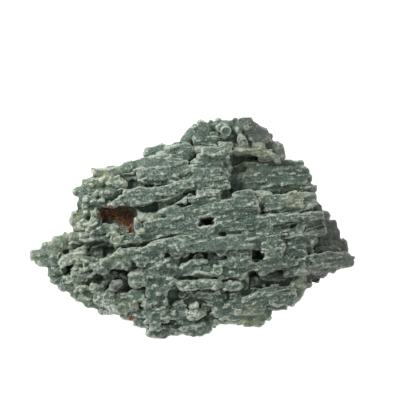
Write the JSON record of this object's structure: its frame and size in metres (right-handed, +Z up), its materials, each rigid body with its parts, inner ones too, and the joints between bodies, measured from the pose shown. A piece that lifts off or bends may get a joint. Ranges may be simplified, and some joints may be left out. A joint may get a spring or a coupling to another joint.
{
  "type": "zeolite crystal cluster",
  "caption": "Hand-sized grey-green mineral specimen: long rounded crystal fingers grown together side by side, flat at the back so that it lies face up.",
  "frame": {"origin": "centre of the bounding box in plan, on the flat back that rests on the table", "axes": "+X along the specimen's length and along its crystal fingers, +Y across it towards the tall crown of the outline, +Z up, out of the crystal-covered face"},
  "size_m": [0.1629, 0.1109, 0.0487],
  "materials": {
    "mineral": "grey-green translucent mineral, its surface frosted with tiny crystals, paler at thin edges and finger ends, with a small rust-brown iron stain in one hollow"
  },
  "bodies": {
    "root": {"crystal_cluster": "mineral"}
  },
  "joints": []
}
